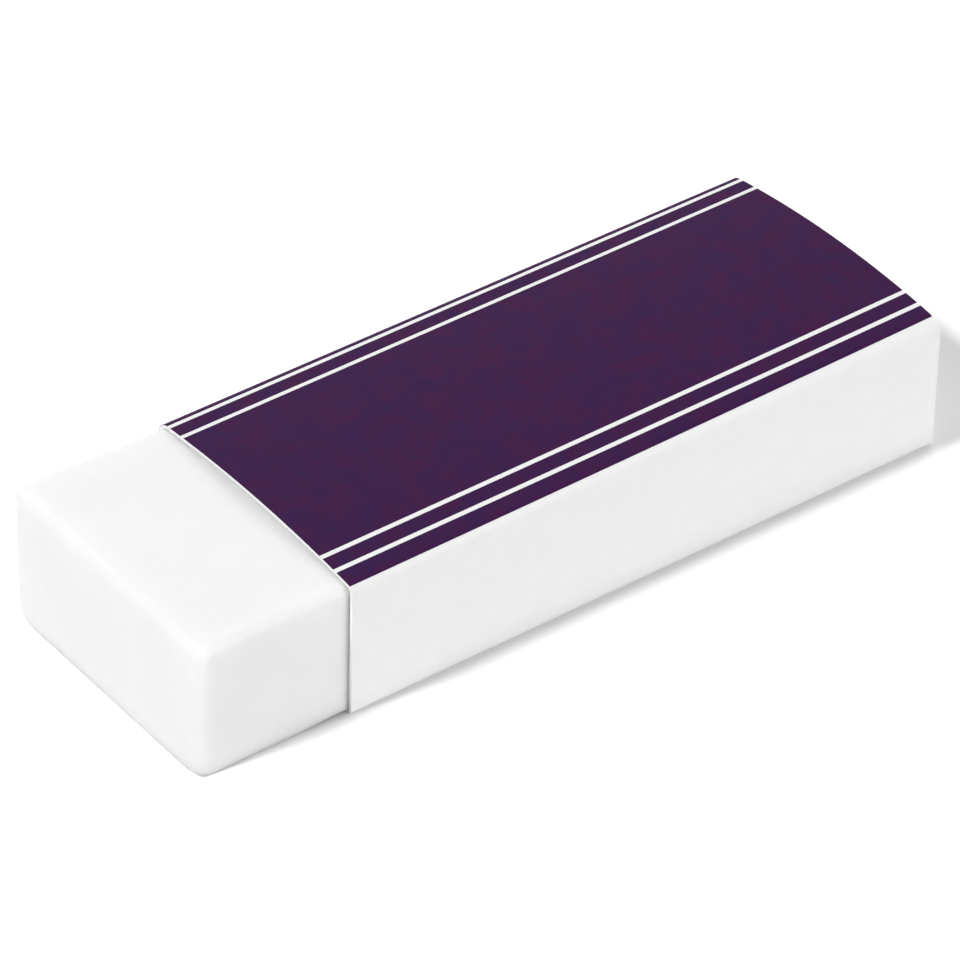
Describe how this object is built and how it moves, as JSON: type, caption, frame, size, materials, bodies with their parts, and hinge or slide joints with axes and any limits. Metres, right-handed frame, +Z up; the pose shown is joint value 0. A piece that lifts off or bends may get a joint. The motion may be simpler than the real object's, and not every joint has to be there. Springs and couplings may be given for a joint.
{
  "type": "rubber eraser",
  "caption": "Block eraser of white vinyl in a folded card sleeve with purple printed bands; the sleeve slides along the block as it wears down.",
  "frame": {"origin": "middle of the underside of the sleeved eraser", "axes": "+X along the block towards its sleeved end, +Y towards the sleeve's glued seam, +Z up"},
  "size_m": [0.0646, 0.023, 0.0121],
  "materials": {
    "white_vinyl": "soft white vinyl, matte and slightly translucent",
    "white_card": "uncoated white card with cut edges",
    "purple_ink": "dark purple ink printed on the card, nearly matte"
  },
  "bodies": {
    "block": {"eraser_block": "white_vinyl"},
    "sleeve": {"card_sleeve": "white_card", "purple_print": "purple_ink"}
  },
  "joints": [
    {"name": "sleeve_slide", "type": "slide", "parent": "block", "child": "sleeve", "axis": [1, 0, 0], "range_m": [-0.066, 0.053]}
  ]
}
